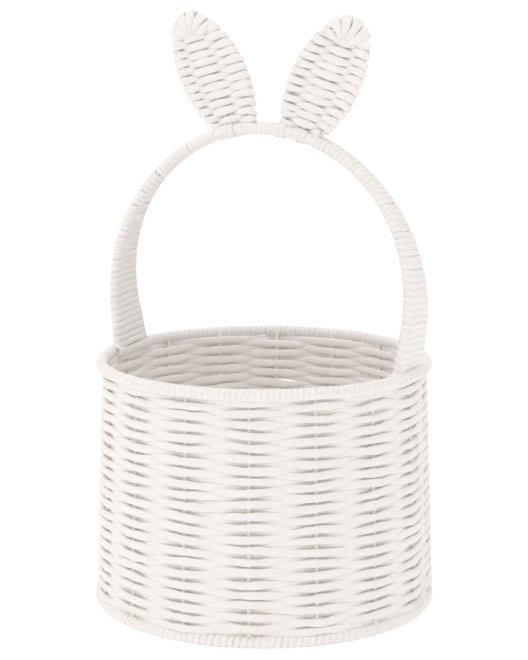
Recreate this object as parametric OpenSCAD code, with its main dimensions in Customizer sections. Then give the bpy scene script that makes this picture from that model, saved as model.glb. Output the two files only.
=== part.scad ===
// Woven easter basket: welded wire frame, twisted paper rope, arched handle, two ears
// X runs along the handle's plane, Z is up, the floor is z = 0

/* [Body] */
// Outside diameter over the wrapped rim
rim_d = 204; // [196:1:216]
// Outside diameter over the wrapped base
base_d = 208.6; // [204:0.2:222]
// Height from the floor to the top of the rim
body_h = 151; // [130:1:170]
// Thickness of the woven wall
wall_t = 7; // [6.2:0.2:8]
// Upright stakes in the wall, and spokes in the floor
stake_count = 16; // [12:4:20]

/* [Rope and wire] */
// Diameter of the hoop and handle wires
wire_d = 3; // [2.4:0.1:3.2]
// Diameter of the stakes and spokes
stake_d = 2.6; // [2.2:0.1:3]
// Thickness of one layer of wrapped rope
rope_t = 2.1; // [1.8:0.1:2.4]

/* [Handle] */
// Height from the floor to the top of the wrapped arch
arch_h = 292; // [276:0.5:316]
// Radius of the arch along its wires
arch_r = 99.5; // [94:0.5:104]
// Spacing of the two handle wires at the crown
apex_gap = 6; // [6:0.2:8]
// Spacing of the two handle wires at the rim
foot_gap = 29; // [24:1:34]

/* [Ears] */
// Length of the left ear along its wire, from the arch
ear_left_l = 75.6; // [66:0.2:86]
// Length of the right ear along its wire, from the arch
ear_right_l = 75.6; // [66:0.2:86]
// Half the width of an ear between its wire centres
ear_half_w = 19.3; // [16:0.1:22]
// Lean of the ears away from the vertical
ear_lean = 30; // [20:0.5:36]
// Diameter of the ear wires
ear_wire_d = 2.4; // [2:0.1:2.6]

/* [Hidden] */
$fn = 48;
fit = 0.1; // gap left between touching pieces
tube_r = wire_d / 2 + rope_t; // outside radius of a wrapped wire
ear_tube_r = ear_wire_d / 2 + rope_t;
bore_reach = 1; // bores for stakes and spokes run this far into the hoop's bore
sole = 0.2; // flat worn off the underside of the base wrap
rim_r = rim_d / 2 - tube_r;
rim_z = body_h - tube_r;
base_r = base_d / 2 - tube_r;
base_z = tube_r - sole;

// wall and floor
stake_top_r = rim_r - wire_d / 2 - stake_d / 2 - fit; // stakes stand inside the rim hoop
stake_z0 = base_z + wire_d / 2 + fit;
stake_z1 = rim_z + 1;
top_gap = 1; // bare stakes between the weave and the rim
low_gap = 0.6; // bare stakes between the weave and the base
wall_z0 = base_z + tube_r + low_gap;
wall_z1 = rim_z - tube_r - top_gap;
spoke_z = base_z + 1;
ring_r = 12.5; // centre ring of the floor
floor_t = 6.2;
floor_r = base_r - tube_r - 1;

// handle
arch_z = arch_h - tube_r - arch_r;
bend_drop = 30; // the wires run parallel this far below the crown
bend_a = acos(1 - bend_drop / arch_r);
bend_z = arch_z + arch_r * cos(bend_a);
splay = atan((foot_gap - apex_gap) / 2 / (bend_z - rim_z));
bend_step = 0.05; // the knuckle at each bend is this much thicker than the wire
leg_r = rim_r - wire_d - fit; // legs stand inside the rim hoop
leg_x = sqrt(pow(leg_r, 2) - pow(foot_gap / 2, 2));
leg_drop = arch_z - bend_z + (bend_z - rim_z) / cos(splay);
leg_span = sqrt(pow(leg_x, 2) + pow(leg_drop, 2));
leg_lean = atan2(leg_drop, leg_x) - acos(arch_r / leg_span);
leg_len = leg_drop * cos(leg_lean) - leg_x * sin(leg_lean);
leg_tail = 4; // legs run on below the rim hoop's centre
band_t = 2 * tube_r - 0.6; // rope band between the two handle wires
band_gap_a = 0.25; // gap in degrees between lengths of handle wrap
band_z0 = body_h + fit;
tie_drop = 3.6; // the foot ties reach this far below the rim hoop's centre
lash_t = 1.3; // one more layer of rope over a wrap

// ears: [side, position on the arch, length, height of widest point, tip radius, rib position]
ear_left = [-1, 9.2, ear_left_l, 0.463 * ear_left_l, 9.9, 12.4];
ear_right = [1, 12.8, ear_right_l, 0.463 * ear_right_l, 10.9, 14.2];
ear_root = 12; // the ear wires are drawn this far below the arch, then trimmed to it
ear_panel_t = 2 * ear_tube_r - 0.8;
tip_lap = 2; // degrees by which the bend at an ear's tip overlaps its sides
tip_step = 0.05; // the bend is this much thicker than the sides
left_lash = [[9.8, 15.8]]; // ranges in degrees along the arch
right_lash = [[5.6, 8.4], [13.4, 16.4]];

rope = [0.94, 0.92, 0.9];
rope_in = [0.9, 0.87, 0.83];
steel = [0.75, 0.74, 0.72];

// straight bar between two points
module rod(p, q, d) {
    v = q - p;
    translate(p)
        rotate([0, acos(v[2] / norm(v)), atan2(v[1], v[0])])
            cylinder(h = norm(v), d = d);
}

// hoop lying flat
module hoop(r, tube, z) {
    translate([0, 0, z])
        rotate_extrude($fn = 96)
            translate([r, 0])
                circle(r = tube);
}

// sets an arc upright in the XZ plane, between angles measured from +Z towards +X
module upright_arc(a0, a1) {
    rotate([90, 0, 0])
        rotate([0, 0, 90 - a1])
            rotate_extrude(angle = a1 - a0, $fn = 96)
                children();
}

module arc_tube(r, tube, a0, a1) {
    upright_arc(a0, a1)
        translate([r, 0])
            circle(r = tube);
}

module arc_slab(r, t, w, a0, a1) {
    upright_arc(a0, a1)
        translate([r, 0])
            square([t, w], center = true);
}

// disc standing in the XZ plane
module disc(r, t) {
    rotate([90, 0, 0])
        cylinder(h = t, r = r, center = true, $fn = 96);
}

// stakes, or with reach their bores, which run on into the hoop's own bore
module stakes(d, reach = 0) {
    for (i = [0 : stake_count - 1])
        rotate([0, 0, i * 360 / stake_count])
            rod([base_r, 0, stake_z0 - reach], [stake_top_r, 0, stake_z1], d);
}

module spokes(d, reach = 0) {
    start = ring_r + wire_d / 2 + fit - reach;
    end = base_r - wire_d / 2 - fit + reach;
    for (i = [0 : stake_count - 1])
        rotate([0, 0, i * 360 / stake_count])
            rod([start, 0, spoke_z], [end, 0, spoke_z], d);
}

// one side of the handle below the bend, drawn in its own plane
module leg_tube(tube, a0) {
    translate([0, 0, arch_z]) {
        arc_tube(arch_r, tube, a0, 90 + leg_lean);
        rotate([0, 90 + leg_lean, 0])
            translate([0, 0, arch_r])
                rotate([0, 90, 0])
                    cylinder(h = leg_len + leg_tail, r = tube);
    }
}

// tips the plane of one handle wire outward from the bend down
module splayed(side) {
    translate([0, side * apex_gap / 2, bend_z])
        rotate([side * splay, 0, 0])
            translate([0, 0, -bend_z])
                children();
}

module crown_tube(side, tube) {
    translate([0, side * apex_gap / 2, arch_z])
        arc_tube(arch_r, tube, -bend_a, bend_a);
}

module handle_wire(side, tube) {
    crown_tube(side, tube);
    for (x = [-1, 1])
        translate([x * arch_r * sin(bend_a), side * apex_gap / 2, bend_z])
            sphere(r = tube + bend_step);
    splayed(side) {
        leg_tube(tube, bend_a);
        mirror([1, 0, 0])
            leg_tube(tube, bend_a);
    }
}

// rope band round both wires along the crown, grown by extra
module crown_band(a0, a1, extra) {
    translate([0, 0, arch_z]) {
        for (side = [-1, 1])
            translate([0, side * apex_gap / 2, 0])
                arc_tube(arch_r, tube_r + extra, a0, a1);
        arc_slab(arch_r, band_t + 2 * extra, apex_gap, a0, a1);
    }
}

// rope band round both wires of the right leg
module leg_band() {
    difference() {
        union() {
            for (side = [-1, 1])
                splayed(side)
                    leg_tube(tube_r, bend_a + band_gap_a);
            intersection() {
                translate([0, 0, arch_z]) {
                    arc_slab(arch_r, band_t, 2 * foot_gap, bend_a + band_gap_a, 90 + leg_lean);
                    rotate([0, leg_lean, 0])
                        translate([arch_r - band_t / 2, -foot_gap, -leg_len])
                            cube([band_t, 2 * foot_gap, leg_len]);
                }
                leg_wedge();
            }
        }
        for (side = [-1, 1])
            handle_wire(side, wire_d / 2 + fit);
        translate([0, -foot_gap, 0])
            cube([rim_d, 2 * foot_gap, band_z0]);
    }
}

// space between the two splayed wire planes
module leg_wedge() {
    low = apex_gap / 2 + bend_z * tan(splay);
    rotate([90, 0, 90])
        linear_extrude(height = rim_d)
            polygon([[-low, 0], [low, 0], [apex_gap / 2, bend_z], [-apex_gap / 2, bend_z]]);
}

// rope turns that tie one foot of the handle to the rim
module foot_ties() {
    difference() {
        intersection() {
            union()
                for (side = [-1, 1])
                    splayed(side)
                        leg_tube(tube_r, 90);
            translate([0, 0, rim_z - tie_drop])
                cylinder(h = tube_r + tie_drop, r = rim_r - 1.4, $fn = 96);
        }
        hoop(rim_r, tube_r + fit, rim_z);
        for (side = [-1, 1])
            handle_wire(side, wire_d / 2 + fit);
    }
}

function mid_rise(e) = e[2] - e[4] - e[3];
function side_r(e) =
    (pow(ear_half_w, 2) + pow(mid_rise(e), 2) - pow(e[4], 2)) / (2 * (ear_half_w - e[4]));
function tip_a(e) = 90 - atan2(mid_rise(e), side_r(e) - ear_half_w);

// moves an ear from its own axes, tip along +Z, to its place on the arch
module on_arch(e) {
    translate([e[0] * arch_r * sin(e[1]), 0, arch_z + arch_r * cos(e[1])])
        rotate([0, e[0] * ear_lean, 0])
            children();
}

module ear_outline(e, tube) {
    sr = side_r(e);
    for (m = [0, 1])
        mirror([m, 0, 0])
            translate([ear_half_w - sr, 0, e[3]])
                arc_tube(sr, tube, tip_a(e), 90 + asin((e[3] + ear_root) / sr));
    translate([0, 0, e[2] - e[4]])
        arc_tube(e[4], tube + tip_step, -tip_a(e) - tip_lap, tip_a(e) + tip_lap);
}

module ear_panel(e, t) {
    sr = side_r(e);
    intersection() {
        translate([ear_half_w - sr, 0, e[3]])
            disc(sr - 0.5, t);
        translate([sr - ear_half_w, 0, e[3]])
            disc(sr - 0.5, t);
        translate([-ear_half_w - 5, -t, -ear_root])
            cube([2 * ear_half_w + 10, 2 * t, e[2] - e[4] + ear_root]);
    }
    translate([0, 0, e[2] - e[4]])
        disc(e[4] - 1, t);
}

module below_arch(r) {
    translate([0, 0, arch_z])
        disc(r, 60);
}

module ear_wire(e, tube) {
    difference() {
        on_arch(e)
            ear_outline(e, tube);
        below_arch(arch_r);
    }
}

module ear_rib(e, tube) {
    tip = e[2] - ear_wire_d - fit;
    foot = [e[0] * arch_r * sin(e[5]), 0, arch_z + arch_r * cos(e[5])];
    top = [
        e[0] * (arch_r * sin(e[1]) + tip * sin(ear_lean)),
        0,
        arch_z + arch_r * cos(e[1]) + tip * cos(ear_lean)
    ];
    rod(foot, top, 2 * tube);
}

module ear_weave(e, lash) {
    difference() {
        on_arch(e) {
            ear_outline(e, ear_tube_r);
            ear_panel(e, ear_panel_t);
        }
        ear_wire(e, ear_wire_d / 2 + fit);
        ear_rib(e, ear_wire_d / 2 + fit);
        below_arch(arch_r + tube_r + fit);
        lash_sleeves(e, lash, lash_t + fit);
    }
}

module lash_sleeves(e, lash, extra) {
    for (a = lash)
        mirror([e[0] < 0 ? 1 : 0, 0, 0])
            crown_band(a[0], a[1], extra);
}

module ear_ties(e, lash) {
    difference() {
        lash_sleeves(e, lash, lash_t);
        crown_band(-40, 40, fit);
        ear_wire(e, ear_wire_d / 2 + fit);
        ear_rib(e, ear_wire_d / 2 + fit);
    }
}

module base_hoop() {
    color(steel)
        hoop(base_r, wire_d / 2, base_z);
}

module base_ring() {
    color(steel)
        hoop(ring_r, wire_d / 2, spoke_z);
}

module base_spokes() {
    color(steel)
        spokes(stake_d);
}

module base_weave() {
    color(rope_in)
        difference() {
            translate([0, 0, spoke_z - floor_t / 2])
                cylinder(h = floor_t, r = floor_r, $fn = 96);
            hoop(ring_r, wire_d / 2 + fit, spoke_z);
            spokes(stake_d + 2 * fit, bore_reach);
        }
}

module base_wrap() {
    color(rope)
        difference() {
            hoop(base_r, tube_r, base_z);
            hoop(base_r, wire_d / 2 + fit, base_z);
            stakes(stake_d + 2 * fit, bore_reach);
            spokes(stake_d + 2 * fit, bore_reach);
            translate([-base_d, -base_d, -base_d])
                cube([2 * base_d, 2 * base_d, base_d]);
        }
}

module wall_stakes() {
    color(steel)
        stakes(stake_d);
}

module wall_weave() {
    slope = (stake_top_r - base_r) / (stake_z1 - stake_z0);
    r0 = base_r + slope * (wall_z0 - stake_z0);
    r1 = base_r + slope * (wall_z1 - stake_z0);
    half = wall_t / 2;
    color(rope)
        difference() {
            rotate_extrude($fn = 96)
                polygon([[r0 - half, wall_z0], [r0 + half, wall_z0], [r1 + half, wall_z1], [r1 - half, wall_z1]]);
            stakes(stake_d + 2 * fit, bore_reach);
        }
}

module rim_hoop() {
    color(steel)
        hoop(rim_r, wire_d / 2, rim_z);
}

module rim_wrap() {
    color(rope)
        difference() {
            hoop(rim_r, tube_r, rim_z);
            hoop(rim_r, wire_d / 2 + fit, rim_z);
            stakes(stake_d + 2 * fit, bore_reach);
            for (side = [-1, 1])
                handle_wire(side, wire_d / 2 + fit);
        }
}

module handle_wire_front() {
    color(steel)
        handle_wire(-1, wire_d / 2);
}

module handle_wire_back() {
    color(steel)
        handle_wire(1, wire_d / 2);
}

module handle_wrap_left() {
    color(rope)
        mirror([1, 0, 0])
            leg_band();
}

module handle_wrap_crown() {
    color(rope)
        difference() {
            crown_band(-bend_a, bend_a, 0);
            for (side = [-1, 1])
                crown_tube(side, wire_d / 2 + fit);
            for (e = [ear_left, ear_right]) {
                ear_wire(e, ear_wire_d / 2 + fit);
                ear_rib(e, ear_wire_d / 2 + fit);
            }
        }
}

module handle_wrap_right() {
    color(rope)
        leg_band();
}

module foot_lashing_left() {
    color(rope)
        mirror([1, 0, 0])
            foot_ties();
}

module foot_lashing_right() {
    color(rope)
        foot_ties();
}

module ear_left_wire() {
    color(steel)
        ear_wire(ear_left, ear_wire_d / 2);
}

module ear_left_rib() {
    color(steel)
        ear_rib(ear_left, ear_wire_d / 2);
}

module ear_left_weave() {
    color(rope)
        ear_weave(ear_left, left_lash);
}

module ear_left_lashing() {
    color(rope)
        ear_ties(ear_left, left_lash);
}

module ear_right_wire() {
    color(steel)
        ear_wire(ear_right, ear_wire_d / 2);
}

module ear_right_rib() {
    color(steel)
        ear_rib(ear_right, ear_wire_d / 2);
}

module ear_right_weave() {
    color(rope)
        ear_weave(ear_right, right_lash);
}

module ear_right_lashing() {
    color(rope)
        ear_ties(ear_right, right_lash);
}

base_hoop();
base_ring();
base_spokes();
base_weave();
base_wrap();
wall_stakes();
wall_weave();
rim_hoop();
rim_wrap();
handle_wire_front();
handle_wire_back();
handle_wrap_left();
handle_wrap_crown();
handle_wrap_right();
foot_lashing_left();
foot_lashing_right();
ear_left_wire();
ear_left_rib();
ear_left_weave();
ear_left_lashing();
ear_right_wire();
ear_right_rib();
ear_right_weave();
ear_right_lashing();
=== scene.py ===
import math

import bpy
import numpy as np
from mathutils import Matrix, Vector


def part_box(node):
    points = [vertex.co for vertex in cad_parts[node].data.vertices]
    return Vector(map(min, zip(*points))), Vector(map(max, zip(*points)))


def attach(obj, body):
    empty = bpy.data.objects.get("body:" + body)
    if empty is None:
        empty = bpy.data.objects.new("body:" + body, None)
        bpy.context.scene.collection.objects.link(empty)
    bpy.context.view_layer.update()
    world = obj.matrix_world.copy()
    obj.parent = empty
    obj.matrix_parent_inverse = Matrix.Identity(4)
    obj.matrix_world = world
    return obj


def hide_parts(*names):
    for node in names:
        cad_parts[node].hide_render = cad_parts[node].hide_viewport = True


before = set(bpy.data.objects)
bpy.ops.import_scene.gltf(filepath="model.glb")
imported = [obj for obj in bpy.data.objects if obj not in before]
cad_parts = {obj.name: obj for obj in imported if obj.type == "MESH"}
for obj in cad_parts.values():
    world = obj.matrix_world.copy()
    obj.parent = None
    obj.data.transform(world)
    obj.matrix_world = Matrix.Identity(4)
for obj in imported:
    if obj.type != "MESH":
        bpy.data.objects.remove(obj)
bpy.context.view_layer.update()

# Lengths are in millimetres until a mesh is made.
MM = 0.001
SEED = 4021
TAU = 2 * math.pi


# ---------------------------------------------------------------- frame measures


def span(node, axis):
    """Lowest and highest coordinate of a CAD node along an axis."""
    low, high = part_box(node)
    return low[axis] / MM, high[axis] / MM


def half(node, axis):
    low, high = span(node, axis)
    return (high - low) / 2


WIRE = half("rim_hoop", 2)  # radius of the hoop and handle wires
STAKE = half("base_spokes", 2)  # radius of the stakes and spokes
TUBE = half("rim_wrap", 2)  # radius over a wrapped wire
ROPE = TUBE - WIRE  # thickness of one layer of wrapped rope
RHO = WIRE + ROPE / 2  # from a wire's centre to the middle of the rope round it

RIM_R = half("rim_hoop", 0) - WIRE
RIM_Z = sum(span("rim_hoop", 2)) / 2
BASE_R = half("base_hoop", 0) - WIRE
BASE_Z = sum(span("base_hoop", 2)) / 2
SPOKE_Z = sum(span("base_spokes", 2)) / 2
STAKE_Z0, STAKE_Z1 = span("wall_stakes", 2)
STAKE_TOP_R = RIM_R - WIRE - STAKE
WALL_Z0, WALL_Z1 = span("wall_weave", 2)
STAKES = 16
FLOOR_R = half("base_weave", 0)
RING_R = half("base_ring", 0) - WIRE

# The handle's two wires run parallel over the crown, then tip outward from a bend down.
ARCH_R = half("handle_wire_front", 0) - WIRE
ARCH_Z = span("handle_wire_front", 2)[1] - WIRE - ARCH_R
APEX_HALF = half("handle_wrap_crown", 1) - TUBE
BEND_A = math.acos((span("handle_wrap_crown", 2)[0] - ARCH_Z) / (ARCH_R - TUBE))
BEND_Z = ARCH_Z + ARCH_R * math.cos(BEND_A)
LEG_LOW_Z = span("handle_wire_back", 2)[0]
LEG_LOW_Y = span("handle_wire_back", 1)[1] - WIRE
SPLAY = math.atan2(LEG_LOW_Y - APEX_HALF, BEND_Z - LEG_LOW_Z)
FOOT_HALF = APEX_HALF + (BEND_Z - RIM_Z) * math.tan(SPLAY)
LEG_R = RIM_R - 2 * WIRE
LEG_X = math.sqrt(LEG_R**2 - FOOT_HALF**2)
LEG_DROP = ARCH_Z - BEND_Z + (BEND_Z - RIM_Z) / math.cos(SPLAY)
LEG_LEAN = math.atan2(LEG_DROP, LEG_X) - math.acos(ARCH_R / math.hypot(LEG_X, LEG_DROP))


def stake_radius(z):
    """Distance of a stake's centre from the basket's axis at height z."""
    return BASE_R + (STAKE_TOP_R - BASE_R) * (z - STAKE_Z0) / (STAKE_Z1 - STAKE_Z0)


def handle_line(s):
    """Points on the back handle wire at distances s from the crown, + to the right."""
    s = np.asarray(s, float)
    turn = math.pi / 2 + LEG_LEAN
    angle = np.clip(np.abs(s) / ARCH_R, 0, turn)
    run = np.maximum(np.abs(s) - ARCH_R * turn, 0)
    x = ARCH_R * np.sin(angle) + run * math.cos(turn)
    z = ARCH_Z + ARCH_R * np.cos(angle) - run * math.sin(turn)
    drop = np.maximum(BEND_Z - z, 0)
    y = APEX_HALF + drop * math.sin(SPLAY)
    z = np.where(drop > 0, BEND_Z - drop * math.cos(SPLAY), z)
    return np.stack([np.sign(s) * x, y, z], -1)


# ---------------------------------------------------------------- rope geometry


def dice(number):
    """A random source of its own for each piece, so that pieces don't disturb each other."""
    return np.random.default_rng([SEED, number])


def unit(v):
    return v / np.maximum(np.linalg.norm(v, axis=-1, keepdims=True), 1e-9)


def arc_length(path):
    steps = np.linalg.norm(np.diff(path, axis=0), axis=1)
    return np.concatenate([[0], np.cumsum(steps)])


def ease(t):
    """Smooth step from 0 to 1."""
    return t * t * (3 - 2 * t)


def drift(s, scale, rng):
    """Smooth random values of about unit size along a rope, changing every scale mm."""
    count = int(s[-1] / scale) + 5
    knots = rng.normal(0, 1, count)
    pos = s / scale + rng.uniform(0, 1)
    i = pos.astype(int)
    t = ease(pos - i)
    return knots[i] * (1 - t) + knots[i + 1] * t


def resample(path, out, step, *extra):
    """Evenly spaced points along a path, with the other values carried along."""
    s = arc_length(path)
    count = max(int(round(s[-1] / step)) + 1, 4)
    at = np.linspace(0, s[-1], count)

    def carry(v):
        v = np.asarray(v, float)
        if v.ndim == 1:
            return np.interp(at, s, v)
        return np.stack([np.interp(at, s, v[:, k]) for k in range(v.shape[1])], 1)

    return [carry(path), unit(carry(out))] + [carry(v) for v in extra]


FACE_ROUND = 0.08  # how much rounder a rope's faces are than its sides


def rope(
    path,
    out,
    wide,
    thick,
    rng,
    sides=8,
    twist=13.0,
    lumpy=0.05,
    lump=9.0,
    ply=0.05,
    square=0.85,
    inner=0.0,
):
    """One length of twisted paper rope: its oval section lies flat against what it wraps.

    out points away from the work, wide is across the rope and thick is along out.
    lump is the length of its uneven places. square is 1 for an oval section, and less for one
    with flatter sides. inner is 1 where the rope lies inside the basket, and 0 outside; the
    shader paints rope there lighter, as painted light for the shaded inside, and creamier, as
    painted warm shade.
    """
    s = arc_length(path)
    along = unit(np.gradient(path, axis=0))
    across = unit(np.cross(along, out))
    up = np.cross(across, along)
    wide = np.broadcast_to(np.asarray(wide, float), s.shape)
    thick = np.broadcast_to(np.asarray(thick, float), s.shape)
    wide = wide * (1 + lumpy * drift(s, lump, rng))
    thick = thick * (1 + 0.6 * lumpy * drift(s, 0.8 * lump, rng))
    angle = np.arange(sides) / sides * TAU
    phase = rng.uniform(0, TAU)
    ridge = 1 + ply * np.cos(2 * angle[None] - (TAU * s / twist)[:, None] + phase)
    side = np.sign(np.cos(angle)) * np.abs(np.cos(angle)) ** square
    rise = np.sign(np.sin(angle)) * np.abs(np.sin(angle)) ** (square + FACE_ROUND)
    ring = (
        path[:, None]
        + across[:, None] * (wide[:, None] / 2 * side[None] * ridge)[..., None]
        + up[:, None] * (thick[:, None] / 2 * rise[None] * ridge)[..., None]
    )
    inner = np.broadcast_to(np.asarray(inner, float), s.shape)
    return {"ring": ring, "s": s, "tint": rng.uniform(0, 1), "inner": inner}


def rope_mesh(name, ropes, floor=None):
    """One mesh from several ropes, with a rope's length and girth as its UV map."""
    verts, quads, caps, quad_uv, cap_uv, tint, inner = [], [], [], [], [], [], []
    base = 0
    for r in ropes:
        count, sides = r["ring"].shape[:2]
        verts.append(r["ring"].reshape(-1, 3))
        i = np.arange(count - 1)[:, None] * sides
        j = np.arange(sides)[None]
        k = (j + 1) % sides
        q = np.stack([i + j, i + k, i + sides + k, i + sides + j], -1)
        quads.append(base + q.reshape(-1, 4))
        u = r["s"] / 10
        u0 = np.broadcast_to(u[:-1, None], (count - 1, sides))
        u1 = np.broadcast_to(u[1:, None], (count - 1, sides))
        v0 = np.broadcast_to(j / sides, (count - 1, sides))
        v1 = v0 + 1 / sides
        uv = np.stack([u0, v0, u0, v1, u1, v1, u1, v0], -1)
        quad_uv.append(uv.reshape(-1, 2))
        ends = np.stack([np.arange(sides)[::-1], (count - 1) * sides + np.arange(sides)])
        caps.append(base + ends)
        end_u = np.repeat([u[0], u[-1]], sides)
        cap_uv.append(np.stack([end_u, np.full(2 * sides, 0.5)], -1))
        tint.append(np.full(count * sides, r["tint"]))
        inner.append(np.repeat(r["inner"], sides))
        base += count * sides
    verts = np.concatenate(verts)
    if floor is not None:
        verts[:, 2] = np.maximum(verts[:, 2], floor)
    quads = np.concatenate(quads)
    sizes = [4] * len(quads)
    corners = [quads.ravel()]
    for c in caps:
        sizes += [c.shape[1]] * 2
        corners.append(c.ravel())
    corners = np.concatenate(corners)
    mesh = bpy.data.meshes.new(name)
    mesh.vertices.add(len(verts))
    mesh.vertices.foreach_set("co", (verts * MM).astype(np.float32).ravel())
    mesh.loops.add(len(corners))
    mesh.loops.foreach_set("vertex_index", corners.astype(np.int32))
    mesh.polygons.add(len(sizes))
    starts = np.concatenate([[0], np.cumsum(sizes)[:-1]])
    mesh.polygons.foreach_set("loop_start", starts.astype(np.int32))
    mesh.update(calc_edges=True)
    mesh.polygons.foreach_set("use_smooth", np.ones(len(sizes), bool))
    uv_layer = mesh.uv_layers.new(name="rope")
    uv = np.concatenate(quad_uv + cap_uv)
    uv_layer.data.foreach_set("uv", uv.astype(np.float32).ravel())
    # tint is a random tone for each rope; inner carries the painted light and shade of rope inside
    # the stakes
    for key, values in (("tint", tint), ("inner", inner)):
        shade = mesh.attributes.new(key, "FLOAT", "POINT")
        shade.data.foreach_set("value", np.concatenate(values).astype(np.float32))
    mesh.validate()
    mesh.update()
    return mesh


def piece(name, ropes, material, nodes, floor=None):
    """A rope piece that rides on the body and stands for CAD nodes."""
    thing = bpy.data.objects.new(name, rope_mesh(name, ropes, floor))
    bpy.context.scene.collection.objects.link(thing)
    thing.data.materials.append(material)
    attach(thing, "root")
    if nodes:
        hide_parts(*nodes)
    return thing


# ---------------------------------------------------------------- materials


class Shader:
    """Small helper for building a node material."""

    def __init__(self, name):
        self.material = bpy.data.materials.new(name)
        self.material.use_nodes = True
        self.tree = self.material.node_tree
        self.tree.nodes.clear()
        self.out = self.add("ShaderNodeOutputMaterial")
        self.surface = self.add("ShaderNodeBsdfPrincipled")
        self.link(self.surface.outputs[0], self.out.inputs["Surface"])

    def add(self, kind, **settings):
        node = self.tree.nodes.new(kind)
        for key, value in settings.items():
            setattr(node, key, value)
        return node

    def link(self, a, b):
        self.tree.links.new(a, b)

    def value(self, socket, v):
        if isinstance(v, bpy.types.NodeSocket):
            self.link(v, socket)
        else:
            socket.default_value = v

    def math(self, kind, a, b=0.0, c=0.0):
        node = self.add("ShaderNodeMath", operation=kind)
        for socket, v in zip(node.inputs, (a, b, c)):
            self.value(socket, v)
        return node.outputs[0]

    def noise(self, vector, scale, detail=3.0, rough=0.5, distort=0.0):
        node = self.add("ShaderNodeTexNoise")
        self.link(vector, node.inputs["Vector"])
        node.inputs["Scale"].default_value = scale
        node.inputs["Detail"].default_value = detail
        node.inputs["Roughness"].default_value = rough
        node.inputs["Distortion"].default_value = distort
        return node.outputs[0]

    def ramp(self, factor, stops):
        node = self.add("ShaderNodeValToRGB")
        self.link(factor, node.inputs[0])
        bar = node.color_ramp.elements
        while len(bar) < len(stops):
            bar.new(0.5)
        for element, (place, colour) in zip(bar, stops):
            element.position = place
            element.color = (*colour, 1)
        return node.outputs[0]

    def bump(self, height, strength, distance, normal=None):
        node = self.add("ShaderNodeBump")
        node.inputs["Strength"].default_value = strength
        node.inputs["Distance"].default_value = distance
        self.link(height, node.inputs["Height"])
        if normal is not None:
            self.link(normal, node.inputs["Normal"])
        return node.outputs[0]

    def multiply(self, colour, factor):
        node = self.add("ShaderNodeMix", data_type="RGBA", blend_type="MULTIPLY")
        node.inputs["Factor"].default_value = 1.0
        self.link(colour, node.inputs["A"])
        self.link(factor, node.inputs["B"])
        return node.outputs["Result"]


def paper_rope(name, tones, turns_per_cm=0.75):
    """Matt twisted paper: fibres and creases run round the rope in a steep helix."""
    sh = Shader(name)
    uv = sh.add("ShaderNodeUVMap", uv_map="rope")
    parts = sh.add("ShaderNodeSeparateXYZ")
    sh.link(uv.outputs[0], parts.inputs[0])
    along, girth = parts.outputs[0], parts.outputs[1]
    tint = sh.add("ShaderNodeAttribute", attribute_name="tint").outputs["Fac"]

    lay = sh.math("MULTIPLY", along, turns_per_cm * TAU)
    angle = sh.math("MULTIPLY_ADD", girth, TAU, lay)
    across = sh.math("COSINE", angle)
    rise = sh.math("SINE", angle)

    def wound(stretch, shift):
        """Coordinates that follow the twist, scaled along the rope and set off by its tint."""
        node = sh.add("ShaderNodeCombineXYZ")
        sh.link(across, node.inputs[0])
        sh.link(rise, node.inputs[1])
        far = sh.math("MULTIPLY_ADD", tint, shift, sh.math("MULTIPLY", along, stretch))
        sh.link(far, node.inputs[2])
        return node.outputs[0]

    creases = sh.noise(wound(0.55, 31.0), 2.6, detail=4.0, rough=0.62, distort=0.35)
    lumps = sh.noise(wound(1.6, 17.0), 1.1, detail=2.0)
    place = sh.add("ShaderNodeTexCoord").outputs["Object"]
    fibres = sh.noise(place, 1500.0, detail=3.0, rough=0.7)
    mottle = sh.noise(wound(0.10, 53.0), 0.9, detail=2.0, rough=0.6)
    broad = sh.noise(place, 16.0, detail=2.0)

    mixed = sh.math("MULTIPLY_ADD", broad, 0.35, sh.math("MULTIPLY", mottle, 0.65))
    base = sh.ramp(mixed, tones)
    shadow = sh.ramp(creases, [(0.30, (0.955, 0.945, 0.93)), (0.50, (1.0, 1.0, 1.0))])
    grain = sh.ramp(fibres, [(0.30, (0.985, 0.982, 0.978)), (0.65, (1.0, 1.0, 1.0))])
    # painted light and shade: rope inside the stakes is painted lighter, to brighten the shaded
    # inside of the basket, and creamier, like the warm shade in the wall's recesses
    inner = sh.add("ShaderNodeAttribute", attribute_name="inner").outputs["Fac"]
    painted_inside_light = sh.ramp(inner, [(0.2, (0.955, 0.952, 0.965)), (0.85, (1.0, 0.99, 0.96))])
    colour = sh.multiply(sh.multiply(sh.multiply(base, shadow), grain), painted_inside_light)
    sh.link(colour, sh.surface.inputs["Base Color"])

    rough = sh.add("ShaderNodeMapRange")
    sh.link(creases, rough.inputs["Value"])
    rough.inputs["To Min"].default_value = 0.78
    rough.inputs["To Max"].default_value = 0.96
    sh.link(rough.outputs[0], sh.surface.inputs["Roughness"])
    sh.surface.inputs["Specular IOR Level"].default_value = 0.2
    sh.surface.inputs["Subsurface Weight"].default_value = 0.35
    sh.surface.inputs["Subsurface Radius"].default_value = (1.0, 0.88, 0.76)
    sh.surface.inputs["Subsurface Scale"].default_value = 0.0008

    normal = sh.bump(lumps, 0.45, 0.0006)
    normal = sh.bump(creases, 0.55, 0.0005, normal)
    normal = sh.bump(fibres, 0.2, 0.0001, normal)
    sh.link(normal, sh.surface.inputs["Normal"])
    return sh.material


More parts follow.
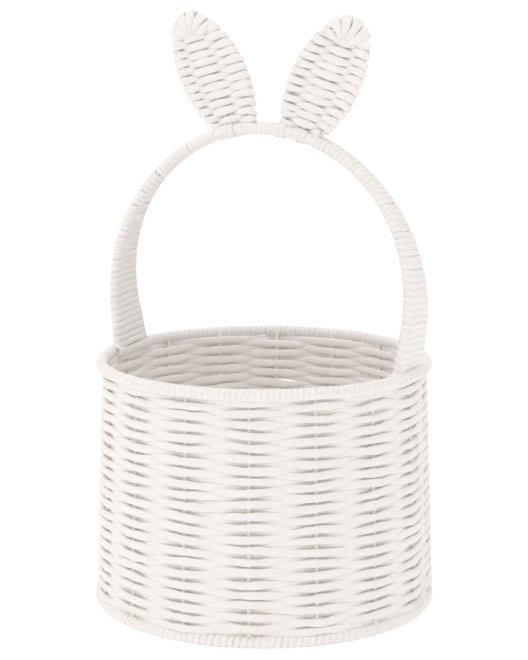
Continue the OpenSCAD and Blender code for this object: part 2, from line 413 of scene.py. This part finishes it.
def coated_wire(name):
    """White coated steel wire with a slightly uneven skin."""
    sh = Shader(name)
    place = sh.add("ShaderNodeTexCoord").outputs["Object"]
    skin = sh.noise(place, 320.0, detail=3.0)
    patch = sh.noise(place, 60.0, detail=2.0)
    tones = [(0.3, (0.82, 0.79, 0.73)), (0.7, (0.88, 0.86, 0.81))]
    sh.link(sh.ramp(patch, tones), sh.surface.inputs["Base Color"])
    rough = sh.add("ShaderNodeMapRange")
    sh.link(skin, rough.inputs["Value"])
    rough.inputs["To Min"].default_value = 0.35
    rough.inputs["To Max"].default_value = 0.6
    sh.link(rough.outputs[0], sh.surface.inputs["Roughness"])
    sh.link(sh.bump(skin, 0.2, 0.0002), sh.surface.inputs["Normal"])
    return sh.material


WHITE_TONES = [
    (0.30, (0.92, 0.86, 0.795)),
    (0.44, (0.95, 0.898, 0.856)),
    (0.56, (0.955, 0.905, 0.874)),
    (0.70, (0.96, 0.914, 0.888)),
]
ROPE_PAPER = paper_rope("paper_rope", WHITE_TONES)
WIRE_COAT = coated_wire("coated_wire")


# ---------------------------------------------------------------- woven wall and floor

WALL_ROWS = 42
TUCK_LOW, TUCK_TOP = 0.6, 1.5  # how far the rows press against the hoops' rope
WALL_PITCH = (WALL_Z1 - WALL_Z0 + TUCK_LOW + TUCK_TOP) / WALL_ROWS
STEP_UP_AT = math.radians(32)  # where a weaver climbs to its next row
STEP_UP = 1.6 * TAU / STAKES
WALL_R = 100.0  # about the wall's radius, for lengths along a weaver
REACH_OUT, REACH_IN = 2.2, 1.45  # how far a weaver swings off the circle of stakes
ROW_TALL, ROW_SPREAD = 4.5, 0.2  # a weaver's height, and what it gains at a stake
ROW_THICK, ROW_PRESS = 3.0, 0.6  # its thickness, and what it loses at a stake
LOWEST = 0.9  # a weaver's middle stays this far above the wall's foot


def swing(angle, sharp=-0.2):
    """Side of the stakes that a weaver is on: +1 outside at even stakes, -1 inside at odd ones.

    A sharp below 0 makes the swing more peaked at the stakes.
    """
    c = np.cos(angle * STAKES / 2)
    return c * (1 + sharp * (1 - c * c))


# Waves round the wall: how many, their slant in radians a millimetre, phase and height.
RIPPLES = (
    (2, 0.031, 0.4, 0.34),
    (5, -0.052, 2.1, 0.26),
    (9, 0.083, 4.4, 0.20),
    (14, -0.11, 1.2, 0.15),
)
RIPPLE_FADE = 14.0  # the waves fade over this height at the wall's top and bottom


def ripple(angle, z):
    """Gentle rise and fall that neighbouring rows of the wall share, fading at its ends."""
    free = np.clip(np.minimum(z - WALL_Z0, WALL_Z1 - z) / RIPPLE_FADE, 0, 1)
    waves = (size * np.sin(n * angle + slant * z + phase) for n, slant, phase, size in RIPPLES)
    return free * sum(waves)


def weaver(first, turns, side, rng):
    """One of the two ropes that chase each other up the wall.

    It starts on row first, and climbs two rows near the end of each turn but the last.
    """
    count = int(turns * TAU * WALL_R / 1.2)
    turn = np.linspace(-STEP_UP / TAU, turns, count)
    whole = np.clip(np.floor(turn), 0, turns - 1)
    climb = np.clip(((turn - whole) * TAU - (TAU - STEP_UP)) / STEP_UP, 0, 1)
    climb = ease(climb) * (whole < turns - 1)
    angle = STEP_UP_AT + turn * TAU
    row = first + 2 * (whole + climb)
    z = WALL_Z0 - TUCK_LOW + (row + 0.5) * WALL_PITCH
    length = (turn - turn[0]) * TAU * WALL_R
    z = z + ripple(angle, z) + 0.34 * drift(length, 15.0, rng) + 0.14 * drift(length, 48.0, rng)
    z = np.clip(z, WALL_Z0 + LOWEST, WALL_Z1)
    lean = swing(angle) * side
    reach = np.where(lean > 0, REACH_OUT, REACH_IN) * (1 + 0.05 * drift(length, 40.0, rng))
    radius = stake_radius(z) + lean * reach
    at_stake = np.abs(np.cos(angle * STAKES / 2))
    tall = ROW_TALL + ROW_SPREAD * at_stake**1.5 + 0.24 * drift(length, 26.0, rng)
    thick = ROW_THICK - ROW_PRESS * at_stake
    # painted light and shade: inner marks where the weaver passes inside the stakes, which the
    # shader paints lighter and creamier to lift and warm the shade there
    inner = np.clip(-1.4 * lean, 0, 1)
    path = np.stack([radius * np.cos(angle), radius * np.sin(angle), z], 1)
    out = np.stack([np.cos(angle), np.sin(angle), np.zeros(count)], 1)
    path, out, tall, thick, inner = resample(path, out, 1.9, tall, thick, inner)
    return rope(
        path, out, tall, thick, rng, sides=12, lumpy=0.075, lump=5.5, square=0.66, inner=inner
    )


def build_wall():
    even = weaver(0, WALL_ROWS // 2, 1, dice(1))
    odd = weaver(1, WALL_ROWS // 2, -1, dice(2))
    piece("wall_weaver_even", [even], ROPE_PAPER, ["wall_weave"])
    piece("wall_weaver_odd", [odd], ROPE_PAPER, ["wall_weave"])


FLOOR_ROWS = 24
OFF_FLOOR = 0.2  # the floor's rope stays this far above the surface it stands on
COIL_TURNS, COIL_PITCH = 3.0, 2.75


def floor_weaver(first, side, rng):
    """One of the two ropes that chase each other outward over the floor's spokes."""
    inner, outer = RING_R + 5.2, FLOOR_R - 1.6
    pitch = (outer - inner) / FLOOR_ROWS
    turns = FLOOR_ROWS / 2 - 0.5 * first
    count = int(turns * 900)
    turn = np.linspace(0, turns, count)
    angle = STEP_UP_AT + turn * TAU
    radius = inner + (first + 2 * turn) * pitch
    length = np.cumsum(radius) * TAU * turns / count
    z = SPOKE_Z + 2.15 * swing(angle) * side + 0.1 * drift(length, 20.0, rng)
    path = np.stack([radius * np.cos(angle), radius * np.sin(angle), z], 1)
    path, out = resample(path, upward(count), 2.0)
    return rope(path, out, 3.3, 2.2, rng)


def floor_coil(rng):
    """The flat coil inside the floor's centre ring."""
    count = 260
    turn = np.linspace(0, COIL_TURNS, count)
    radius = 0.9 + turn * COIL_PITCH
    x, y = radius * np.cos(turn * TAU), radius * np.sin(turn * TAU)
    path = np.stack([x, y, np.full(count, SPOKE_Z)], 1)
    return rope(path, upward(count), 2.9, 3.2, rng)


def upward(count):
    return np.tile([0.0, 0.0, 1.0], (count, 1))


def build_floor():
    """Rope woven round the floor's spokes, a wrapped centre ring and a coiled middle."""
    rng = dice(3)
    strands = [floor_weaver(0, 1, rng), floor_weaver(1, -1, rng)]
    piece("floor_weave", strands, ROPE_PAPER, ["base_weave"], OFF_FLOOR)
    ring = hoop_wrap(RING_R, SPOKE_Z, 24, rng)
    coil = floor_coil(rng)
    piece("floor_centre", [ring, coil], ROPE_PAPER, [], OFF_FLOOR)


# ---------------------------------------------------------------- wrapped hoops


HOOP_GIRTH = 17.0  # about the length of one turn of rope round a hoop


def hoop_wrap(radius, height, turns, rng, start=0.0, end=TAU, wide=3.3, swell=0.0, skin=0.0):
    """Rope wound round a hoop that lies flat.

    swell is how far the loops reach inward, and skin is how far out they lie over other rope.
    """
    count = int(turns * 18)
    t = np.linspace(0, 1, count)
    at = start + (end - start) * t
    length = t * turns * HOOP_GIRTH
    at = at + 0.08 * (end - start) / turns * drift(length, 55.0, rng)
    loop = t * turns * TAU
    rho = RHO + skin
    inward = (1 - np.cos(loop)) / 2
    flat = np.sin(loop) * rho
    across = np.cos(loop) * (rho + swell / 2) - swell / 2
    plump = 1 + 0.03 * drift(length, 14.0, rng)
    r = radius + across * plump
    z = height + flat * plump
    path = np.stack([r * np.cos(at), r * np.sin(at), z], 1)
    out_r = np.cos(loop)
    out = np.stack([out_r * np.cos(at), out_r * np.sin(at), np.sin(loop)], 1)
    wide = wide * (1 + 0.06 * drift(length, 28.0, rng)) - 0.2 * inward
    return rope(path, out, wide, ROPE * 0.98, rng, ply=0.03, square=0.72)


FOOT_ANGLE = math.atan2(FOOT_HALF, LEG_X)
TIE_HALF = 5.2 / RIM_R  # half the width of a foot's binding, in radians
RIM_PITCH, RIM_WIDE = 3.35, 4.2
BASE_PITCH, BASE_WIDE = 3.9, 4.3


def build_rim():
    turns = round(TAU * RIM_R / RIM_PITCH)
    strand = hoop_wrap(RIM_R, RIM_Z, turns, dice(5), wide=RIM_WIDE)
    piece("rim_rope", [strand], ROPE_PAPER, ["rim_wrap"])


def build_foot_ties():
    """Turns of rope over the rim's rope, which bind the handle's wires to the rim."""
    for name, centre, number in (("right", 0.0, 6), ("left", math.pi, 7)):
        rng = dice(number)
        strands = []
        for side in (-1, 1):
            spot = centre + side * FOOT_ANGLE
            low, high = spot - TIE_HALF, spot + TIE_HALF
            tie = hoop_wrap(RIM_R, RIM_Z, 4, rng, low, high, wide=3.2, swell=2 * WIRE, skin=0.7)
            strands.append(tie)
        piece(f"foot_tie_{name}", strands, ROPE_PAPER, [f"foot_lashing_{name}"])


def build_base_rim():
    turns = round(TAU * BASE_R / BASE_PITCH)
    strand = hoop_wrap(BASE_R, BASE_Z, turns, dice(8), wide=BASE_WIDE)
    piece("base_rope", [strand], ROPE_PAPER, ["base_wrap"], floor=0.0)


# ---------------------------------------------------------------- wrapped handle


def band_section(walk, spread, rho, slack):
    """Where a turn of rope is after walking round both wires, and which way is out of the band.

    Sideways and upward places come first, then sideways and upward directions. slack is how
    far the rope sags between the wires.
    """
    flat = 2 * spread
    bend = math.pi * rho
    y, n, out_y, out_n = (np.zeros(len(walk)) for _ in range(4))
    # over the outer face, round the back wire, under the inner face, round the front wire
    edges = [0 * flat, flat, flat + bend, 2 * flat + bend, 2 * flat + 2 * bend]
    for k in range(4):
        here = (walk >= edges[k]) & (walk <= edges[k + 1])
        part = (walk - edges[k]) / np.maximum(edges[k + 1] - edges[k], 1e-6)
        part = np.clip(part, 0, 1)
        sign = 1 if k < 2 else -1
        if k % 2 == 0:
            sag = slack * np.sin(math.pi * part) ** 0.7
            y = np.where(here, sign * (2 * part - 1) * spread, y)
            n = np.where(here, sign * (rho - sag), n)
            out_y = np.where(here, 0, out_y)
            out_n = np.where(here, sign, out_n)
        else:
            a = math.pi * part
            y = np.where(here, sign * (spread + rho * np.sin(a)), y)
            n = np.where(here, sign * rho * np.cos(a), n)
            out_y = np.where(here, sign * np.sin(a), out_y)
            out_n = np.where(here, sign * np.cos(a), out_n)
    return y, n, out_y, out_n


def band_turns(s0, s1, pitch0, pitch1, rng, skin=0.0, wide=3.3, thick=ROPE, slack=0.35):
    """Rope wound round both handle wires between two distances from the crown.

    The turns' pitch goes from pitch0 to pitch1, and skin is how far out they lie over other
    rope.
    """
    mean = (pitch0 + pitch1) / 2
    turns = max(round(abs(s1 - s0) / mean), 2)
    count = turns * 34
    t = np.linspace(0, 1, count)
    s = s0 + (s1 - s0) * (t * pitch0 + (pitch1 - pitch0) * t * t / 2) / mean
    wire = handle_line(s)
    middle = wire * [1, 0, 1]
    spread = wire[:, 1]
    along = unit((handle_line(s + 0.5) - wire) * [1, 0, 1])
    outward = unit(np.stack([-along[:, 2], np.zeros(count), along[:, 0]], 1))
    rho = WIRE + skin + thick / 2
    girth = 4 * spread + TAU * rho
    walk = (t * turns % 1.0) * girth
    y, n, out_y, out_n = band_section(walk, spread, rho, slack)
    length = t * turns * float(np.mean(girth))
    shift = 0.07 * mean * drift(length, 26.0, rng)
    lift = n * (1 + 0.02 * drift(length, 17.0, rng))
    sideways = np.array([0, 1, 0])
    path = middle + outward * lift[:, None] + sideways * y[:, None] + along * shift[:, None]
    out = outward * out_n[:, None] + sideways * out_y[:, None]
    pitch = pitch0 + (pitch1 - pitch0) * t
    wide = wide * pitch / pitch0 * (1 + 0.05 * drift(length, 31.0, rng))
    return rope(path, unit(out), wide, thick * 0.98, rng, ply=0.03, square=0.78)


CROWN_S = ARCH_R * BEND_A  # distance from the top of the arch to where the wires splay
ARC_END_S = ARCH_R * (math.pi / 2 + LEG_LEAN)  # and to where the arch ends
CROWN_PITCH, CROWN_WIDE = 3.3, 4.1
LEG_PITCH, LEG_FOOT_PITCH, LEG_WIDE, LEG_SLACK = 3.4, 4.2, 3.95, 1.2
LEG_LAP = 0.8  # how far a leg's rope starts inside the crown's
FOOT_TUCK = 1.5  # how far the legs' rope ends below the middle of the rim


def foot_distance():
    """Distance along the wire from the crown to the band's lower end, tucked inside the rim."""
    s = np.linspace(CROWN_S, ARC_END_S + 60, 4000)
    z = handle_line(s)[:, 2]
    return float(np.interp(-(RIM_Z - FOOT_TUCK), -z, s))


def build_handle():
    foot = foot_distance()
    crown = band_turns(
        -CROWN_S, CROWN_S, CROWN_PITCH, CROWN_PITCH, dice(10), wide=CROWN_WIDE
    )
    piece("handle_rope_crown", [crown], ROPE_PAPER, ["handle_wrap_crown"])
    for name, side, number in (("right", 1, 11), ("left", -1, 12)):
        leg = band_turns(
            side * (CROWN_S - LEG_LAP),
            side * foot,
            LEG_PITCH,
            LEG_FOOT_PITCH,
            dice(number),
            wide=LEG_WIDE,
            slack=LEG_SLACK,
        )
        piece(f"handle_rope_{name}", [leg], ROPE_PAPER, [f"handle_wrap_{name}"])


# ---------------------------------------------------------------- ears

EAR_WIRE = half("ear_left_rib", 1)  # radius of an ear's wires
EAR_RHO = EAR_WIRE + 1.15  # from a wire's centre to the middle of the rope over it
EAR_LEAN = math.radians(30)
EAR_LONG = 75.6  # from the arch's line to the outline wire at the tip
EAR_HALF = 19.3  # half the greatest width, between the outline wire's centres
EAR_MID = 0.463 * EAR_LONG  # how far up the greatest width is
EAR_TILT = math.tan(math.radians(15))  # rows lean from square to the ear towards level
EAR_ROW = 2.7  # pitch of the rows
EAR_SINK = 0.8  # how deep the rows may press into the arch's rope
FAN_TURNS = 5
FAN_FROM, FAN_SWEEP = 82, 190  # degrees from the tip where the fan starts, and its sweep
HUB_DROP, HUB_GAP = 4.0, 2.0  # the fan's hub below the middle of the tip's bend, and its radius


class Ear:
    """An ear's own axes: x across it to the right, t from the arch to the tip."""

    def __init__(self, side, root_deg, tip_r, rib_deg):
        root = math.radians(root_deg)
        self.side = side
        self.tip_r = tip_r
        self.root = np.array(
            [side * ARCH_R * math.sin(root), 0, ARCH_Z + ARCH_R * math.cos(root)]
        )
        self.up = np.array([side * math.sin(EAR_LEAN), 0, math.cos(EAR_LEAN)])
        self.right = np.array([math.cos(EAR_LEAN), 0, -side * math.sin(EAR_LEAN)])
        foot_a = math.radians(rib_deg)
        foot = np.array(
            [side * ARCH_R * math.sin(foot_a), 0, ARCH_Z + ARCH_R * math.cos(foot_a)]
        )
        self.rib_x = float((foot - self.root) @ self.right)
        self.rib_t = float((foot - self.root) @ self.up)
        self.tip_t = EAR_LONG - tip_r
        rise = self.tip_t - EAR_MID
        self.side_r = (EAR_HALF**2 + rise**2 - tip_r**2) / (2 * (EAR_HALF - tip_r))
        self.tip_a = math.pi / 2 - math.atan2(rise, self.side_r - EAR_HALF)

    def place(self, x, y, t):
        """A point in the ear's axes, as a point in the frame."""
        return self.root + self.turn(x, y, t)

    def turn(self, x, y, t):
        """A direction in the ear's axes, as a direction in the frame."""
        x, y, t = np.broadcast_arrays(x, y, t)
        flat = x[:, None] * self.right + t[:, None] * self.up
        return flat + y[:, None] * np.array([0.0, 1.0, 0.0])

    def half_width(self, t):
        t = np.asarray(t, float)
        arc = np.sqrt(np.maximum(self.side_r**2 - (t - EAR_MID) ** 2, 0))
        side = EAR_HALF - self.side_r + arc
        over = np.maximum(t - self.tip_t, 0)
        tip = np.sqrt(np.maximum(self.tip_r**2 - over**2, 0))
        return np.where(t > self.tip_t + self.tip_r * math.cos(self.tip_a), tip, side)

    def outline(self, at):
        """Points on the outline wire at angles from the tip, down past the tip's bend."""
        past = np.maximum(np.abs(at) - self.tip_a, 0)
        t = self.tip_t + self.tip_r * (np.cos(np.minimum(np.abs(at), self.tip_a)) - past)
        x = np.where(past > 0, self.half_width(t), self.tip_r * np.sin(np.abs(at)))
        return np.sign(at) * x, t

    def rib(self, t):
        share = (t - self.rib_t) / (EAR_LONG - self.rib_t)
        return self.rib_x * (1 - share)

    def above_arch(self, x, t):
        """Height over the wrapped arch of a point of the ear."""
        p = self.root + x * self.right + t * self.up
        return math.hypot(p[0], p[2] - ARCH_Z) - ARCH_R - TUBE


def cross_ear(u, rib, width):
    """Places across an ear for u from -1 at the left wire, over 0 at the rib, to 1 at the right."""
    return np.where(u < 0, rib + (rib + width) * u, rib + (width - rib) * u)


def ear_rows(ear, rng):
    """One rope woven to and fro across the two side wires and the rib."""
    slope = ear.side * EAR_TILT
    pts, outs = [], []
    t = -3.0
    last = ear.tip_t + 0.1 * ear.tip_r
    way = 1
    while t < last:
        level = t + 0.3 * rng.normal()
        u = np.linspace(-1, 1, 27) * way
        rib = float(ear.rib(t))
        # first at the row's middle width, then at the width where each point lands
        x = cross_ear(u, rib, float(ear.half_width(t)))
        here = level + slope * x
        x = cross_ear(u, rib, ear.half_width(here))
        # on one side of the outer wires and the other side of the rib
        y = way * EAR_RHO * np.cos(math.pi * (1 - np.abs(u)))
        keep = np.array([ear.above_arch(a, b) > -EAR_SINK for a, b in zip(x, here)])
        if sum(keep) > 3:
            x, y, here = x[keep], y[keep], here[keep]
            pts.append(np.stack([x, y, here], 1))
            outs.append(np.stack([0 * x, 0 * x + way, 0 * x], 1))
            # round the outer wire to the other face, up to the next row
            a = np.linspace(0, math.pi, 9)[1:-1]
            edge = x[-1] + way * EAR_RHO * np.sin(a)
            up = here[-1] + EAR_ROW * a / math.pi
            pts.append(np.stack([edge, y[-1] * np.cos(a), up], 1))
            outs.append(np.stack([way * np.sin(a), way * np.cos(a), 0 * a], 1))
        t += EAR_ROW
        way = -way
    return np.concatenate(pts), np.concatenate(outs)


def smooth_run(values):
    """The same points, each drawn towards its neighbours."""
    values = np.array(values, float)
    values[1:-1] = 0.25 * values[:-2] + 0.5 * values[1:-1] + 0.25 * values[2:]
    return values


def build_ear(name, ear, seed):
    rng = dice(seed)
    pts, outs = ear_rows(ear, rng)
    # the rope is flattest where it lies over a wire
    flat = np.abs(pts[:, 1]) / EAR_RHO
    tall = 3.8 + 1.3 * np.clip(flat, 0, 1) ** 1.5
    path = ear.place(pts[:, 0], pts[:, 1], pts[:, 2])
    out = ear.turn(outs[:, 0], outs[:, 1], outs[:, 2])
    path, out, tall = resample(path, out, 1.3, tall)
    path = smooth_run(path)
    strand = rope(path, out, tall, 2.6, rng, sides=10, lumpy=0.08, square=0.72)
    tip = ear_tip(ear, rng)
    piece(f"{name}_rope", [strand, tip], ROPE_PAPER, [f"{name}_weave"])


def ear_tip(ear, rng):
    """Turns from the bend of the wire at an ear's tip to a hub just below it."""
    t = np.linspace(0, 1, FAN_TURNS * 36)
    at = ear.side * np.radians(FAN_FROM - FAN_SWEEP * t)
    loop = t * FAN_TURNS * TAU
    wire_x, wire_t = ear.outline(at)
    to_x, to_t = -wire_x, ear.tip_t - HUB_DROP - wire_t
    gap = np.hypot(to_x, to_t)
    to_x, to_t = to_x / gap, to_t / gap
    outer = (1 + np.cos(loop)) / 2
    far = -EAR_RHO + (1 - outer) * (gap - HUB_GAP + EAR_RHO)
    y = np.sin(loop) * (EAR_RHO + 0.5)
    path = ear.place(wire_x + to_x * far, y, wire_t + to_t * far)
    c = np.cos(loop)
    out = ear.turn(-c * to_x, np.sin(loop), -c * to_t)
    length = t * FAN_TURNS * 24.0
    wide = 7.2 * (1 + 0.07 * drift(length, 22.0, rng)) * (0.45 + 0.55 * outer)
    return rope(path, out, wide, 2.3, rng, ply=0.03, square=0.74)


def build_ears():
    """Both ears, and the turns of rope that tie them to the arch."""
    build_ear("ear_left", Ear(side=-1, root_deg=9.2, tip_r=9.9, rib_deg=12.4), 20)
    build_ear("ear_right", Ear(side=1, root_deg=12.8, tip_r=10.9, rib_deg=14.2), 21)
    build_ear_tie("ear_left", -1, [(9.8, 15.8)], 24)
    build_ear_tie("ear_right", 1, [(5.6, 8.4), (13.4, 16.4)], 25)


def build_ear_tie(name, side, ranges, seed):
    """Turns over the arch's rope, between angles in degrees from the top of the arch."""
    rng = dice(seed)
    strands = []
    for a0, a1 in ranges:
        s0, s1 = (side * ARCH_R * math.radians(a) for a in (a0, a1))
        tie = band_turns(s0, s1, 3.0, 3.0, rng, skin=ROPE - 0.4, wide=3.9, thick=1.3)
        strands.append(tie)
    piece(f"{name}_tie", strands, ROPE_PAPER, [f"{name}_lashing"])


# ---------------------------------------------------------------- set, light, camera

# The camera, in metres and radians, and its lens in millimetres.
CAMERA_AZIMUTH = math.radians(27.5)
CAMERA_DISTANCE = 1.2
CAMERA_HEIGHT = 0.392
CAMERA_PITCH = 0.186
LENS = 109.8
# How bright the studio is at heights from the horizon, 0, to straight up, 1.
STUDIO = ((0.0, 1.0), (0.06, 0.22), (0.35, 0.5), (0.75, 1.15))
LAMP_ENERGY = 0.42
LAMP_SPREAD = math.radians(60)
LAMP_TILT = math.radians(47)  # from straight down
LAMP_TURN = math.radians(60)  # to the left of the camera
FLOOR_GLOW = 0.24
GAMMA = 1.5


def build_set():
    bpy.ops.mesh.primitive_circle_add(vertices=96, radius=30, fill_type="NGON")
    floor = bpy.context.object
    floor.name = "floor"
    sh = Shader("floor_white")
    place = sh.add("ShaderNodeTexCoord").outputs["Object"]
    speck = sh.noise(place, 3.0, detail=2.0)
    tones = [(0.0, (0.94, 0.94, 0.94)), (1.0, (0.95, 0.95, 0.95))]
    sh.link(sh.ramp(speck, tones), sh.surface.inputs["Base Color"])
    sh.surface.inputs["Roughness"].default_value = 1.0
    sh.surface.inputs["Specular IOR Level"].default_value = 0.0
    sh.surface.inputs["Emission Color"].default_value = (1.0, 1.0, 1.0, 1)
    sh.surface.inputs["Emission Strength"].default_value = FLOOR_GLOW
    floor.data.materials.append(sh.material)

    build_studio_light()


def build_studio_light():
    """A white studio with a bright ceiling, dimmer walls, and a broad lamp at front left."""
    world = bpy.data.worlds.new("studio")
    bpy.context.scene.world = world
    world.use_nodes = True
    tree = world.node_tree
    sky = tree.nodes["Background"]
    sky.inputs["Strength"].default_value = 1.0
    direction = tree.nodes.new("ShaderNodeTexCoord")
    parts = tree.nodes.new("ShaderNodeSeparateXYZ")
    tree.links.new(direction.outputs["Generated"], parts.inputs[0])
    walls = tree.nodes.new("ShaderNodeValToRGB")
    tree.links.new(parts.outputs[2], walls.inputs[0])
    bar = walls.color_ramp.elements
    while len(bar) < len(STUDIO):
        bar.new(0.5)
    for element, (rise, light) in zip(bar, STUDIO):
        element.position = rise
        element.color = (light, light * 0.995, light * 0.985, 1)
    tree.links.new(walls.outputs[0], sky.inputs["Color"])

    lamp = bpy.data.lights.new("broad_lamp", "SUN")
    lamp.energy = LAMP_ENERGY
    lamp.angle = LAMP_SPREAD
    lamp.color = (1.0, 0.985, 0.96)
    holder = bpy.data.objects.new("broad_lamp", lamp)
    bpy.context.scene.collection.objects.link(holder)
    holder.rotation_euler = (LAMP_TILT, 0, CAMERA_AZIMUTH - LAMP_TURN)


def build_camera():
    data = bpy.data.cameras.new("camera")
    data.lens = LENS
    data.clip_end = 100
    camera = bpy.data.objects.new("camera", data)
    bpy.context.scene.collection.objects.link(camera)
    camera.location = (
        CAMERA_DISTANCE * math.sin(CAMERA_AZIMUTH),
        -CAMERA_DISTANCE * math.cos(CAMERA_AZIMUTH),
        CAMERA_HEIGHT,
    )
    camera.rotation_euler = (math.pi / 2 - CAMERA_PITCH, 0, CAMERA_AZIMUTH)
    bpy.context.scene.camera = camera
    bpy.context.scene.view_settings.view_transform = "Standard"
    bpy.context.scene.view_settings.gamma = GAMMA


def finish_wires():
    """The bare wires keep their CAD shape and get a coated finish."""
    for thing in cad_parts.values():
        if thing.hide_render:
            continue
        for slot in thing.material_slots:
            slot.material = WIRE_COAT


build_wall()
build_floor()
build_rim()
build_foot_ties()
build_base_rim()
build_handle()
build_ears()
finish_wires()
build_set()
build_camera()
